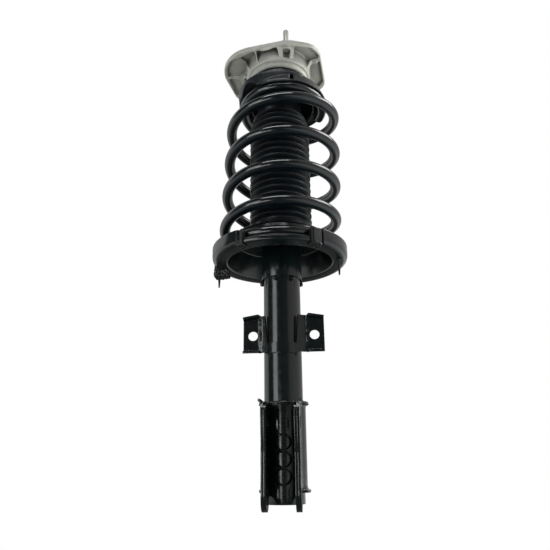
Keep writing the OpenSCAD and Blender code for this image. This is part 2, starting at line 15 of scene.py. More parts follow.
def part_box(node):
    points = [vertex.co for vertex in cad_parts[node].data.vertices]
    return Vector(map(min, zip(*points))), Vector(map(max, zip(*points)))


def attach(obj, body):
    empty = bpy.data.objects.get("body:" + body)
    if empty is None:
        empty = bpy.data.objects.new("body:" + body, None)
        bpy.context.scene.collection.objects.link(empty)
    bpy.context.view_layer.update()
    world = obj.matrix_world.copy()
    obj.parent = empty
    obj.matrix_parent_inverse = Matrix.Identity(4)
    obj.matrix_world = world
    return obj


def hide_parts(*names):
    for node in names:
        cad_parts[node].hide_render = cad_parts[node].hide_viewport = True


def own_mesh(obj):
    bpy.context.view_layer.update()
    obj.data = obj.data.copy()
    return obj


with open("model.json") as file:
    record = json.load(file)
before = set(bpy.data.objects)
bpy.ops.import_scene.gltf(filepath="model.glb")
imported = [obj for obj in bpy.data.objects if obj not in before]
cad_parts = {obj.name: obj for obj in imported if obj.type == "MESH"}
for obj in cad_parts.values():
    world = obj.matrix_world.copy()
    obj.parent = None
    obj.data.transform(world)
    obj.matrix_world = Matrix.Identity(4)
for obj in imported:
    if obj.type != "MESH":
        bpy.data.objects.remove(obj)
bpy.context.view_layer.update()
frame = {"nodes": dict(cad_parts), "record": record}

MM = 0.001
nodes = frame["nodes"]
scene = bpy.context.scene
noise.seed_set(5)

# Sizes shared with the CAD model, in millimetres
TURN = math.radians(5)            # turn of the mount against the brackets
TUBE_R = 25.5
TUBE_IN = 23.3
SHEET = 3.0
PLATE = 3.2
STUD_CIRCLE = 52.0
STUD_ANGLES = (-77, 43, 163)
CAP_SHIFT = 6.0
SEAT_SHIFT = -2.2
SEAT_BOTTOM = -343.0
HAT_TOP = -303.0
WALL_TOP = -321.0
SEAT_R = 96.5
BRACKET_TOP = -538.0
WRAP_BOTTOM = -645.0
EAR_FRONT = -70.0
KNUCKLE_GAP = 34.0
HOLE_Y, HOLE_ZS, HOLE_R = -50.0, (-564.0, -648.0), 8.2
LINK_TOP, LINK_BOTTOM = -422.0, -472.0
LINK_SHIFT, LINK_HOLE_X, LINK_HOLE_Z, LINK_HOLE_R = 2.5, 41.5, -449.0, 6.5


def step01(t):
    t = min(max(t, 0.0), 1.0)
    return t * t * (3 - 2 * t)


def polar(r, degrees):
    return Vector((r * math.cos(math.radians(degrees)), r * math.sin(math.radians(degrees))))


# ---------------------------------------------------------------- camera, light and floor

def make_camera():
    """Camera below the strut's middle, looking up at it."""
    tilt, roll = math.radians(19), math.radians(-0.66)
    distance, sideways, aim_z = 0.790, -0.00954, -0.358
    forward = Vector((-math.sin(TURN) * math.cos(tilt), math.cos(TURN) * math.cos(tilt), math.sin(tilt)))
    level = Vector((math.cos(TURN), math.sin(TURN), 0))
    rise = level.cross(forward)
    right = level * math.cos(roll) + rise * math.sin(roll)
    up = rise * math.cos(roll) - level * math.sin(roll)
    data = bpy.data.cameras.new("camera")
    data.sensor_width = 36
    data.lens = 36 * 1.0091
    data.clip_start = 0.01
    camera = bpy.data.objects.new("camera", data)
    scene.collection.objects.link(camera)
    place = Vector((0, 0, aim_z)) - forward * distance + level * sideways
    turned = Matrix((right, up, -forward)).transposed().to_4x4()
    camera.matrix_world = Matrix.Translation(place) @ turned
    scene.camera = camera


def area_light(name, place, target, size, power, tint=(1, 1, 1), lit=True, mirrored=True):
    data = bpy.data.lights.new(name, "AREA")
    data.shape = "RECTANGLE"
    data.size, data.size_y = size
    data.energy = power
    data.color = tint
    light = bpy.data.objects.new(name, data)
    scene.collection.objects.link(light)
    light.location = place
    aim = Vector(target) - Vector(place)
    light.rotation_euler = aim.to_track_quat("-Z", "Y").to_euler()
    light.visible_camera = False
    light.visible_diffuse = lit
    light.visible_glossy = mirrored


def make_world():
    """White to the camera. What the object reflects changes round the room, as (degrees, level, tint)
    measured from the camera's side, with minus to the left."""
    room = [(-180, 0.25, 1.0), (-150, 0.32, 1.0), (-104, 0.86, 1.0), (-98, 0.84, 1.0), (-93, 0.06, 1.2),
            (-30, 0.06, 1.2), (34, 0.12, 1.1), (42, 0.38, 0.9), (70, 0.48, 0.9), (120, 0.50, 0.93),
            (150, 0.45, 0.96), (180, 0.62, 1.0)]
    world = bpy.data.worlds.new("studio")
    scene.world = world
    world.use_nodes = True
    tree = world.node_tree
    seen = tree.nodes["Background"]
    seen.inputs["Color"].default_value = (1, 1, 1, 1)
    around = tree.nodes.new("ShaderNodeBackground")
    direction = tree.nodes.new("ShaderNodeTexCoord")
    split = tree.nodes.new("ShaderNodeSeparateXYZ")
    away = tree.nodes.new("ShaderNodeMath")
    away.operation = "MULTIPLY"
    away.inputs[1].default_value = -1.0
    turn = tree.nodes.new("ShaderNodeMath")
    turn.operation = "ARCTAN2"
    share = tree.nodes.new("ShaderNodeMapRange")
    for key, value in (("From Min", -math.pi), ("From Max", math.pi), ("To Min", 0.0), ("To Max", 1.0)):
        share.inputs[key].default_value = value
    ramp = tree.nodes.new("ShaderNodeValToRGB")
    stops = ramp.color_ramp.elements
    stops[0].position, stops[1].position = 0.0, 1.0
    for degrees, level, tint in room[1:-1]:
        stops.new((degrees + 180) / 360)
    for stop, (degrees, level, tint) in zip(stops, room):
        stop.color = (level, level * (1 + tint) / 2, level * tint, 1)
    path = tree.nodes.new("ShaderNodeLightPath")
    mix = tree.nodes.new("ShaderNodeMixShader")
    for a, b in ((direction.outputs["Generated"], split.inputs[0]), (split.outputs["X"], turn.inputs[0]),
                 (split.outputs["Y"], away.inputs[0]), (away.outputs[0], turn.inputs[1]),
                 (turn.outputs[0], share.inputs["Value"]), (share.outputs["Result"], ramp.inputs["Fac"]),
                 (ramp.outputs["Color"], around.inputs["Color"]),
                 (path.outputs["Is Camera Ray"], mix.inputs["Fac"]), (around.outputs[0], mix.inputs[1]),
                 (seen.outputs[0], mix.inputs[2]),
                 (mix.outputs[0], tree.nodes["World Output"].inputs["Surface"])):
        tree.links.new(a, b)


def make_stage():
    make_world()
    area_light("left_softbox", (-0.89, -0.96, -0.18), (0, 0, -0.2), (0.60, 0.7), 3.7, (0.95, 1.0, 0.97),
               lit=False)
    area_light("low_softbox", (-0.55, -1.15, -0.60), (0, 0, -0.58), (0.62, 0.30), 2.2, lit=False)
    area_light("top_softbox", (-0.1, -0.78, 0.82), (0, 0, -0.2), (0.9, 0.30), 6.5, lit=False)
    area_light("right_high", (0.95, 0.1, 0.55), (0, 0, -0.2), (0.7, 0.5), 6, (1.0, 0.98, 0.95))
    area_light("left_fill", (-1.0, -0.25, -0.45), (0, 0, 0), (0.5, 0.8), 8.5, mirrored=False)
    area_light("right_fill", (1.0, -0.15, -0.48), (0, 0, 0), (0.5, 0.8), 13, mirrored=False)
    area_light("under_fill", (0.1, -0.12, -0.78), (0, 0, 0), (1.2, 1.0), 2.4, mirrored=False)

    mesh = bpy.data.meshes.new("floor")
    reach, height = 6.0, -0.80
    corners = [(-reach, -reach), (reach, -reach), (reach, reach), (-reach, reach)]
    mesh.from_pydata([(x, y, height) for x, y in corners], [], [(0, 1, 2, 3)])
    floor = bpy.data.objects.new("floor", mesh)
    scene.collection.objects.link(floor)
    paper = bpy.data.materials.new("floor_paper")
    paper.use_nodes = True
    tree = paper.node_tree
    shader = tree.nodes["Principled BSDF"]
    shader.inputs["Base Color"].default_value = (0.15, 0.15, 0.15, 1)
    shader.inputs["Roughness"].default_value = 0.9
    shader.inputs["Emission Color"].default_value = (0.96, 1.0, 0.98, 1)
    place = tree.nodes.new("ShaderNodeTexCoord")
    split = tree.nodes.new("ShaderNodeSeparateXYZ")
    aside = tree.nodes.new("ShaderNodeMath")
    aside.operation = "MAXIMUM"
    left_share = tree.nodes.new("ShaderNodeMath")
    left_share.operation = "MULTIPLY"
    left_share.inputs[1].default_value = -0.55
    glow = tree.nodes.new("ShaderNodeMapRange")
    for key, value in (("From Min", 0.3), ("From Max", 0.8), ("To Min", 0.0), ("To Max", 0.75)):
        glow.inputs[key].default_value = value
    white = tree.nodes.new("ShaderNodeEmission")
    path = tree.nodes.new("ShaderNodeLightPath")
    mix = tree.nodes.new("ShaderNodeMixShader")
    for a, b in ((place.outputs["Object"], split.inputs[0]), (split.outputs["X"], aside.inputs[0]),
                 (split.outputs["X"], left_share.inputs[0]), (left_share.outputs[0], aside.inputs[1]),
                 (aside.outputs[0], glow.inputs["Value"]),
                 (glow.outputs["Result"], shader.inputs["Emission Strength"]),
                 (path.outputs["Is Camera Ray"], mix.inputs["Fac"]), (shader.outputs[0], mix.inputs[1]),
                 (white.outputs[0], mix.inputs[2]),
                 (mix.outputs[0], tree.nodes["Material Output"].inputs["Surface"])):
        tree.links.new(a, b)
    mesh.materials.append(paper)


# ---------------------------------------------------------------- materials

def surface(name, color, rough, metal=0.0, tone=0.15, tone_size=12.0, second=None, second_share=0.35,
            rough_spread=0.06, rough_size=6.0, bumps=(), lines=None, coat=0.0, coat_rough=0.05, shine=0.5,
            recess_shade=None):
    """A procedural finish. Sizes are in millimetres.

    bumps: (size, height) pairs of noise relief. second: a colour that shows in broad patches.
    lines: (spacing, height) of fine turning marks round the rod's axis. recess_shade: (reach, shade)
    is painted shade: the base colour is darkened in the recesses that ambient occlusion finds.
    """
    material = bpy.data.materials.new(name)
    material.use_nodes = True
    tree = material.node_tree
    shader = tree.nodes["Principled BSDF"]

    def node(kind, **inputs):
        made = tree.nodes.new(kind)
        for key, value in inputs.items():
            made.inputs[key.replace("_", " ")].default_value = value
        return made

    def join(a, b):
        tree.links.new(a, b)

    place = tree.nodes.new("ShaderNodeTexCoord").outputs["Object"]

    def grain(size, detail=3.0):
        made = node("ShaderNodeTexNoise", Scale=1000.0 / size, Detail=detail, Roughness=0.55)
        join(place, made.inputs["Vector"])
        return made.outputs["Fac"]

    def ramp(value, low, high, to_low, to_high):
        made = node("ShaderNodeMapRange")
        for key, number in (("From Min", low), ("From Max", high), ("To Min", to_low), ("To Max", to_high)):
            made.inputs[key].default_value = number
        join(value, made.inputs["Value"])
        return made.outputs["Result"]

    def blend(factor, a, b):
        made = tree.nodes.new("ShaderNodeMix")
        made.data_type = "RGBA"
        join(factor, made.inputs["Factor"])
        for key, value in (("A", a), ("B", b)):
            socket = [s for s in made.inputs if s.name == key and s.type == "RGBA"][0]
            if isinstance(value, tuple):
                socket.default_value = (*value, 1)
            else:
                join(value, socket)
        return [s for s in made.outputs if s.type == "RGBA"][0]

    dark = tuple(c * (1 - tone) for c in color)
    light = tuple(min(1.0, c * (1 + tone)) for c in color)
    shade = blend(ramp(grain(tone_size), 0.3, 0.7, 0.0, 1.0), dark, light)
    if second:
        shade = blend(ramp(grain(tone_size * 2.7, 2.0), 0.45, 0.75, 0.0, second_share), shade, second)
    # Painted shade: recesses found by ambient occlusion get a darker base colour
    if recess_shade:
        recess = node("ShaderNodeAmbientOcclusion", Distance=recess_shade[0] * MM)
        recess.samples = 8
        painted_shade_colour = tuple(c * recess_shade[1] for c in color)
        shade = blend(ramp(recess.outputs["AO"], 0.35, 0.95, 1.0, 0.0), shade, painted_shade_colour)
    join(shade, shader.inputs["Base Color"])
    roughness = ramp(grain(rough_size), 0.3, 0.7, rough - rough_spread, rough + rough_spread)
    join(roughness, shader.inputs["Roughness"])
    shader.inputs["Metallic"].default_value = metal
    shader.inputs["Specular IOR Level"].default_value = shine
    shader.inputs["Coat Weight"].default_value = coat
    shader.inputs["Coat Roughness"].default_value = coat_rough

    last = None

    def relief(height, value):
        nonlocal last
        made = node("ShaderNodeBump", Strength=1.0, Distance=height * MM)
        join(value, made.inputs["Height"])
        if last is not None:
            join(last, made.inputs["Normal"])
        last = made.outputs["Normal"]

    for size, height in bumps:
        relief(height, grain(size, 2.0))
    if lines:
        spacing, height = lines
        wave = node("ShaderNodeTexWave", Scale=1000.0 / spacing / (2 * math.pi) * 0.6, Distortion=0.6,
                    Detail=2.0)
        wave.bands_direction = "Z"
        join(place, wave.inputs["Vector"])
        relief(height, wave.outputs["Fac"])
    if last is not None:
        join(last, shader.inputs["Normal"])
    return material


finish = {
    # The cast aluminium's recess_shade paints shade into its pockets and corners
    "cast_aluminium": surface("cast_aluminium", (0.405, 0.41, 0.37), 0.52, metal=0.2, tone=0.08, tone_size=9,
                              second=(0.375, 0.37, 0.30), bumps=((1.1, 0.10), (7.0, 0.18)),
                              recess_shade=(24, 0.22)),
    "zinc_steel": surface("zinc_steel", (0.44, 0.44, 0.42), 0.5, metal=0.75, tone=0.1, tone_size=4,
                          second=(0.60, 0.56, 0.42), bumps=((0.7, 0.02),)),
    "bearing_steel": surface("bearing_steel", (0.65, 0.65, 0.66), 0.16, metal=1.0, tone=0.05,
                             bumps=((2.0, 0.004),)),
    "chromed_rod": surface("chromed_rod", (0.75, 0.75, 0.77), 0.09, metal=1.0, tone=0.03, rough_spread=0.03,
                           bumps=((3.0, 0.003),)),
    "machined_steel": surface("machined_steel", (0.50, 0.50, 0.50), 0.34, metal=1.0, tone=0.08,
                              lines=(0.5, 0.01)),
    "sintered_iron": surface("sintered_iron", (0.25, 0.25, 0.25), 0.6, metal=0.7, tone=0.2, tone_size=2,
                             bumps=((0.5, 0.05),)),
    "black_paint": surface("black_paint", (0.002, 0.0045, 0.005), 0.20, tone=0.25, tone_size=20,
                           second=(0.006, 0.007, 0.006), rough_spread=0.07, rough_size=9,
                           bumps=((1.6, 0.016), (9.0, 0.11)), coat=0.35, coat_rough=0.1),
    "spring_coat": surface("spring_coat", (0.0015, 0.004, 0.0055), 0.2, tone=0.25, tone_size=14,
                           rough_spread=0.05, bumps=((1.8, 0.016), (7.0, 0.05)), coat=0.4, coat_rough=0.08),
    "black_rubber": surface("black_rubber", (0.006, 0.0075, 0.0075), 0.42, tone=0.2, tone_size=5,
                            bumps=((0.6, 0.03), (5.0, 0.05))),
    "boot_rubber": surface("boot_rubber", (0.0035, 0.0055, 0.0075), 0.34, tone=0.25, tone_size=9,
                           second=(0.008, 0.0085, 0.009), bumps=((0.8, 0.02), (6.0, 0.12)), shine=0.34),
    "glass_filled_nylon": surface("glass_filled_nylon", (0.011, 0.015, 0.017), 0.31, tone=0.16, tone_size=7,
                                  second=(0.022, 0.025, 0.027), bumps=((0.5, 0.03), (4.0, 0.03)), shine=0.42),
    "cage_plastic": surface("cage_plastic", (0.25, 0.16, 0.06), 0.5, tone=0.1, bumps=((1.0, 0.02),)),
    "foam": surface("foam", (0.50, 0.43, 0.22), 0.85, tone=0.12, tone_size=3, bumps=((0.8, 0.12),)),
    "band_plastic": surface("band_plastic", (0.04, 0.045, 0.04), 0.45, tone=0.15, bumps=((1.0, 0.02),)),
    "bronze": surface("bronze", (0.50, 0.32, 0.14), 0.35, metal=1.0, tone=0.15, lines=(0.6, 0.01)),
}


# ---------------------------------------------------------------- making meshes

def place_piece(obj, body, slot, replaced=()):
    obj.data.materials.clear()
    obj.data.materials.append(finish[slot])
    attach(obj, body)
    if replaced:
        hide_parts(*replaced)
    return obj


def new_object(name, points, faces, sharp=38.0):
    """A mesh object from points in millimetres, welded, with faces turned outwards and smooth shading."""
    mesh = bpy.data.meshes.new(name)
    mesh.from_pydata([tuple(c * MM for c in p) for p in points], [], faces)
    obj = bpy.data.objects.new(name, mesh)
    scene.collection.objects.link(obj)
    tidy(obj, sharp)
    return obj


def object_of(name, made):
    """A scene object with a bmesh's shape."""
    mesh = bpy.data.meshes.new(name)
    made.to_mesh(mesh)
    made.free()
    obj = bpy.data.objects.new(name, mesh)
    scene.collection.objects.link(obj)
    return obj


def tidy(obj, sharp=38.0, weld=1e-6):
    made = bmesh.new()
    made.from_mesh(obj.data)
    bmesh.ops.remove_doubles(made, verts=made.verts, dist=weld)
    bmesh.ops.dissolve_degenerate(made, edges=made.edges, dist=1e-7)
    bmesh.ops.recalc_face_normals(made, faces=made.faces)
    for face in made.faces:
        face.smooth = True
    for edge in made.edges:
        edge.smooth = len(edge.link_faces) != 2 or edge.calc_face_angle(0) < math.radians(sharp)
    made.to_mesh(obj.data)
    made.free()


def modify(obj, kind, **settings):
    """Adds a modifier and applies it."""
    modifier = obj.modifiers.new(kind.lower(), kind)
    for key, value in settings.items():
        setattr(modifier, key, value)
    bpy.context.view_layer.update()
    done = bpy.data.meshes.new_from_object(obj.evaluated_get(bpy.context.evaluated_depsgraph_get()))
    obj.modifiers.clear()
    obj.data = done


def merge(name, parts, sharp=38.0):
    """One object from several; the parts are taken away."""
    joined = bmesh.new()
    for part in parts:
        joined.from_mesh(part.data)
    for part in parts:
        bpy.data.objects.remove(part)
    obj = object_of(name, joined)
    tidy(obj, sharp)
    return obj


def bored(obj, centre, axis, radius, length=60.0, side=48):
    """Cuts a round hole, all in millimetres."""
    made = bmesh.new()
    turned = Vector(axis).to_track_quat("Z", "Y").to_matrix().to_4x4()
    bmesh.ops.create_cone(made, cap_ends=True, segments=side, radius1=radius * MM, radius2=radius * MM,
                          depth=length * MM, matrix=Matrix.Translation(Vector(centre) * MM) @ turned)
    cutter = object_of("cutter", made)
    modify(obj, "BOOLEAN", operation="DIFFERENCE", solver="EXACT", object=cutter)
    bpy.data.objects.remove(cutter)


def cad_copy(name, node):
    """A new mesh with a CAD node's shape, to be rounded and detailed."""
    obj = bpy.data.objects.new(name, nodes[node].data.copy())
    scene.collection.objects.link(obj)
    obj.data.materials.clear()
    tidy(obj)
    return obj


def cast(name, parts, voxel, smooth, keep=0.4):
    """One skin over several solids, with edges and inner corners rounded as a casting or moulding has."""
    obj = merge(name, parts)
    modify(obj, "REMESH", mode="VOXEL", voxel_size=voxel * MM, use_smooth_shade=True)
    modify(obj, "SMOOTH", factor=0.5, iterations=smooth)
    modify(obj, "DECIMATE", ratio=keep)
    tidy(obj, 60.0)
    return obj


def fillet(points, radius, steps=4, closed=True):
    """The outline with its corners rounded. A point's third number is its own radius."""
    made = []
    count = len(points)
    for i, point in enumerate(points):
        here = Vector(point[:2])
        size = point[2] if len(point) > 2 else radius
        to_last = Vector(points[i - 1][:2]) - here
        to_next = Vector(points[(i + 1) % count][:2]) - here
        if size <= 0 or (not closed and i in (0, count - 1)) or min(to_last.length, to_next.length) < 1e-6:
            made.append(here)
            continue
        corner = to_last.angle(to_next)
        if corner > math.radians(177):
            made.append(here)
            continue
        reach = min(size / math.tan(corner / 2), 0.48 * to_last.length, 0.48 * to_next.length)
        start, end = here + to_last.normalized() * reach, here + to_next.normalized() * reach
        for k in range(steps + 1):
            t = k / steps
            made.append(start * (1 - t) ** 2 + here * (2 * t * (1 - t)) + end * t * t)
    return made


def lathe(name, outline, closed=True, segments=96, centre=(0, 0), move=None):
    """A turned shape from its outline of (r, z). move(r, angle, z) gives a changed (r, z)."""
    points, faces = [], []
    rows = len(outline)
    for i in range(segments):
        angle = 2 * math.pi * i / segments
        for r, z in outline:
            if move:
                r, z = move(r, angle, z)
            points.append((centre[0] + r * math.cos(angle), centre[1] + r * math.sin(angle), z))
    for i in range(segments):
        j = (i + 1) % segments
        for k in range(rows if closed else rows - 1):
            m = (k + 1) % rows
            faces.append((i * rows + k, j * rows + k, j * rows + m, i * rows + m))
    return new_object(name, points, faces)


def tube_along(name, line, radius, sides=24, ends=0.22):
    """A round bar along a line of points, with rounded ends. radius may be a list, one for each point."""
    line = [Vector(p) for p in line]
    count = len(line)
    radii = radius if isinstance(radius, list) else [radius] * count
    first, last = (line[1] - line[0]).normalized(), (line[-1] - line[-2]).normalized()
    rings = []
    for i in range(count):
        along = (line[min(i + 1, count - 1)] - line[max(i - 1, 0)]).normalized()
        rings.append((line[i], along, radii[i]))
    if ends:
        start = [(line[0] + first * ends * radii[0] * (1 - math.cos(t)), first,
                  radii[0] * (1 - ends * (1 - math.sin(t)))) for t in (0.0, 0.5, 1.0)]
        tip = [(line[-1] - last * ends * radii[-1] * (1 - math.cos(t)), last,
                radii[-1] * (1 - ends * (1 - math.sin(t)))) for t in (1.0, 0.5, 0.0)]
        rings = start + rings[1:-1] + tip
    points, faces = [], []
    for place, along, size in rings:
        across = along.cross(Vector((0, 0, 1))).normalized()
        upward = across.cross(along)
        for k in range(sides):
            turn = 2 * math.pi * k / sides
            points.append(place + (across * math.cos(turn) + upward * math.sin(turn)) * size)
    for i in range(len(rings) - 1):
        for k in range(sides):
            m = (k + 1) % sides
            faces.append((i * sides + k, i * sides + m, (i + 1) * sides + m, (i + 1) * sides + k))
    faces.append(tuple(range(sides)))
    faces.append(tuple(range((len(rings) - 1) * sides, len(rings) * sides)))
    return new_object(name, points, faces)


def spaced(line, gap):
    """Points about a gap apart along a line of (x, y), keeping its corners' arcs."""
    made = [Vector(line[0])]
    for a, b in zip(line, line[1:]):
        a, b = Vector(a), Vector(b)
        parts = max(1, round((b - a).length / gap))
        made += [a.lerp(b, (k + 1) / parts) for k in range(parts)]
    return made


def strap(name, line, low, high, thickness, outward, rows=60, curl_top=None, curl_low=None, curl=4.5,
          push=None, shift=None, edge=0.9):
    """Pressed sheet standing on a plan line of (x, y).

    low(p), high(p): the sheet's edges over a point of the line. outward: +1 if the sheet's outer side is
    on the line's left. curl_top(p), curl_low(p): how far an edge curls outwards. push(p, z): relief.
    shift(p, z): moves a point of the sheet in plan.
    """
    count = len(line)
    grid = []
    for i, here in enumerate(line):
        along = (line[min(i + 1, count - 1)] - line[max(i - 1, 0)]).normalized()
        out = Vector((-along.y, along.x)) * outward
        bottom, top = low(here), high(here)
        bend = [math.radians(a) for a in (18, 36, 54, 72, 90)]
        column = []
        if curl_low:
            column += [(curl_low(here) * (1 - math.cos(t)), bottom + curl * (1 - math.sin(t)))
                       for t in reversed(bend)]
        start = bottom + (curl if curl_low else 0)
        end = top - (curl if curl_top else 0)
        column += [(0.0, start + (end - start) * k / rows) for k in range(rows + 1)]
        if curl_top:
            column += [(curl_top(here) * (1 - math.cos(t)), top - curl * (1 - math.sin(t))) for t in bend]
        made = []
        for side, z in column:
            spot = here + out * (side + (push(here, z) if push else 0.0))
            if shift:
                spot = spot + Vector(shift(here, z))
            made.append((spot.x, spot.y, z))
        grid.append(made)
    rows_all = len(grid[0])
    points = [p for column in grid for p in column]
    faces = [(i * rows_all + k, (i + 1) * rows_all + k, (i + 1) * rows_all + k + 1, i * rows_all + k + 1)
             for i in range(count - 1) for k in range(rows_all - 1)]
    obj = new_object(name, points, faces, 180)
    modify(obj, "SOLIDIFY", thickness=thickness * MM, offset=0.0, use_rim=True)
    modify(obj, "BEVEL", width=edge * MM, segments=3, limit_method="ANGLE", angle_limit=math.radians(60))
    tidy(obj, 50.0)
    return obj


def turn_about_axis(obj, angle):
    obj.data.transform(Matrix.Rotation(angle, 4, "Z"))
    return obj


def threaded(name, outline, z0, z1, pitch, depth, centre=(0, 0), segments=32):
    """A turned bar from (r, z) steps, upwards from its lower end, with a screw thread from z0 to z1."""
    rows = []
    for (r0, a), (r1, b) in zip(outline, outline[1:]):
        parts = max(1, int(abs(b - a) / (pitch / 6))) if a >= z0 - 1e-6 and b <= z1 + 1e-6 else 1
        rows += [(r0 + (r1 - r0) * k / parts, a + (b - a) * k / parts) for k in range(parts)]
    rows.append(outline[-1])

    def move(r, angle, z):
        if r <= 0 or not z0 <= z <= z1:
            return r, z
        phase = (z / pitch - angle / (2 * math.pi)) % 1.0
        tooth = abs(2 * phase - 1)
        fade = step01((z - z0) / pitch) * step01((z1 - z) / (0.5 * pitch))
        return r - depth * fade * step01(tooth * 1.25 - 0.1), z

    return lathe(name, rows, closed=False, segments=segments, centre=centre, move=move)


def bead(name, line, size, ripple=1.5, seed=0.0):
    """A weld bead: a rounded ridge with the ripples of a moving arc."""
    line = [Vector(p) for p in line]
    travelled, radii, spots = 0.0, [], []
    length = sum((b - a).length for a, b in zip(line, line[1:]))
    for i, here in enumerate(line):
        if i:
            travelled += (here - line[i - 1]).length
        ends = min(1.0, 0.45 + min(travelled, length - travelled) / (2.2 * size))
        wave = abs(math.sin(math.pi * travelled / ripple))
        rough = noise.noise(here * 0.23 + Vector((seed, 0, 0)))
        radii.append(size * ends * (0.9 + 0.13 * wave + 0.2 * rough))
        spots.append(here + Vector((0, 0, 0.6 * noise.noise(here * 0.15 + Vector((0, seed, 0))))))
    return tube_along(name, spots, radii, sides=14, ends=0.5)


# ---------------------------------------------------------------- top mount

def make_mount():
    stud_places = [polar(STUD_CIRCLE, a) for a in STUD_ANGLES]
    ridge = lathe("ridge", fillet([(44.5, -20), (44.5, -25.4), (46.6, -26.4), (49.2, -25.4), (49.6, -20)],
                                  1.0))
    lip = lathe("lip", fillet([(41.0, -28), (41.0, -33.4), (43.5, -34.3), (46.2, -33.2), (46.8, -28)], 1.0))
    rings = [lathe("stud_ring", fillet([(5.7, -5), (5.7, -10), (6.7, -10.9), (7.9, -10.2), (8.3, -5)], 0.5),
                   segments=48, centre=p) for p in stud_places]
    lug = bmesh.new()
    place = Matrix.Translation(Vector((55, -19.5, -6.6)) * MM) @ Matrix.Rotation(math.radians(-12), 4, "Z")
    bmesh.ops.create_cube(lug, size=1.0, matrix=place @ Matrix.Diagonal((13 * MM, 5 * MM, 4 * MM, 1)))
    lug = object_of("lug", lug)
    for part in (ridge, lip, lug, *rings):
        turn_about_axis(part, TURN)
    housing = cast("housing_skin", [cad_copy("housing", "mount_housing"), lug], 0.8, 8)
    housing = merge("mount_casting", [housing, ridge, lip, *rings], 50)
    place_piece(housing, "top_mount", "cast_aluminium", ["mount_housing"])

    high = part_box("mount_studs")[1].z / MM
    parts = []
    for p in stud_places:
        head = [(0, -9.2), (2.4, -9.2), (2.8, -9.6), (4.8, -9.6), (5.6, -8.9), (5.6, -5.2), (5.4, -5.0),
                (4.55, -5.0), (4.55, 0.0)]
        shank = [(4.0, 0.3), (4.0, high - 1.2), (3.1, high - 0.1), (2.8, high), (0, high)]
        parts.append(threaded("stud", head + shank, 1.5, high - 1.2, 1.25, 0.62, centre=p))
    studs = turn_about_axis(merge("tower_studs", parts, 50), TURN)
    place_piece(studs, "top_mount", "zinc_steel", ["mount_studs"])


def make_rod():
    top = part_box("piston_rod")[1].z / MM
    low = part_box("piston_rod")[0].z / MM
    shoulder, piston_top = -39.0, low + 36
    outline = [(0, low), (5.4, low), (6, low + 0.8), (6, piston_top), (10.4, piston_top),
               (11, piston_top + 0.6), (11, shoulder - 0.8), (10.3, shoulder), (7, shoulder), (7, -3),
               (7, top - 1.5), (5.6, top - 0.1), (5.3, top), (3.5, top), (3.2, top - 4), (0, top - 4)]
    rod = threaded("damper_rod", outline, -3, top - 1.5, 1.5, 0.8, segments=64)
    place_piece(rod, "top_mount", "chromed_rod", ["piston_rod"])

    nut = cad_copy("nut", "rod_nut")
    modify(nut, "BEVEL", width=0.7 * MM, segments=3, limit_method="ANGLE", angle_limit=math.radians(40))
    tidy(nut, 30)
    nut.name = "flange_nut"
    place_piece(nut, "top_mount", "zinc_steel", ["rod_nut"])


# ---------------------------------------------------------------- upper spring seat and its rubber

def make_upper_seat():
    seat = cast("seat_moulding", [cad_copy("cap", "upper_spring_seat")], 0.7, 3, 0.45)
    place_piece(seat, "spring_seat", "glass_filled_nylon", ["upper_spring_seat"])

    deck, under = -62.2, -77.0
    outline = fillet([(46.2, deck, 0), (46.2, under - 7, 1.2), (49, under - 9, 1.0), (51.6, under - 6, 0.8),
                      (52.4, under, 0.4), (64.2, under, 0.8), (56, deck, 0.5)], 0.5)
    rubber = lathe("upper_rubber", outline, centre=(CAP_SHIFT, 0))
    place_piece(rubber, "spring_seat", "black_rubber", ["upper_isolator"])


# ---------------------------------------------------------------- coil spring

WIRE_R = 7.75
COIL_TURNS, FIRST_AZIMUTH, FOOT, EASE, TAPER = 5.5, -155.0, 0.368, 0.25, 4.6
COIL_R, COIL_R_TOP, PIGTAIL_R, COIL_PITCH = 81.0, 79.3, 60.5, 54.5
COIL_LOW_X, COIL_HIGH_X, LEAN_X, LEAN_Y = -2.0, 7.2, 5.7, 5.0
COIL_TOP = -77.0


def coil_line(count):
    """The wire's centre line, worked out as the CAD does."""
    foot_z = SEAT_BOTTOM + SHEET + 7 + WIRE_R + 0.1
    head_z = COIL_TOP - WIRE_R
    head = FOOT + (head_z - foot_z) / COIL_PITCH

    def soft(t):
        return 0.0 if t <= -EASE else t if t >= EASE else (t + EASE) ** 2 / (4 * EASE)

    line = []
    for i in range(count + 1):
        u = COIL_TURNS * i / count
        azimuth = math.radians(FIRST_AZIMUTH + 360 * u)
        z = foot_z + COIL_PITCH * (soft(u - FOOT) - soft(u - head))
        t = (z - foot_z) / (head_z - foot_z)
        r = (COIL_R + (COIL_R_TOP - COIL_R) * step01(u / 4.3)
             - (COIL_R_TOP - PIGTAIL_R) * step01((u - TAPER) / 0.35))
        middle = COIL_LOW_X + (COIL_HIGH_X - COIL_LOW_X) * t
        middle -= (COIL_HIGH_X - CAP_SHIFT) * step01((t - 0.85) / 0.15)
        lean = LEAN_X * math.cos(azimuth - TURN) + LEAN_Y * (1 + math.sin(azimuth - TURN))
        z -= lean * step01(t / 0.2) * step01((1 - t) / 0.4)
        line.append(Vector((middle + r * math.cos(azimuth), r * math.sin(azimuth), z)))
    return line


def squash_with_travel(piece):
    """Gives the piece a mesh of its own."""
    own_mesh(piece)


def make_coil():
    coil = tube_along("spring_wire", coil_line(640), WIRE_R, sides=32)
    place_piece(coil, "spring_seat", "spring_coat", ["coil_spring"])
    squash_with_travel(coil)


# ---------------------------------------------------------------- dust boot

BOOT_R, FOLD_DEPTH, FOLDS = 45.7, 6.0, 18


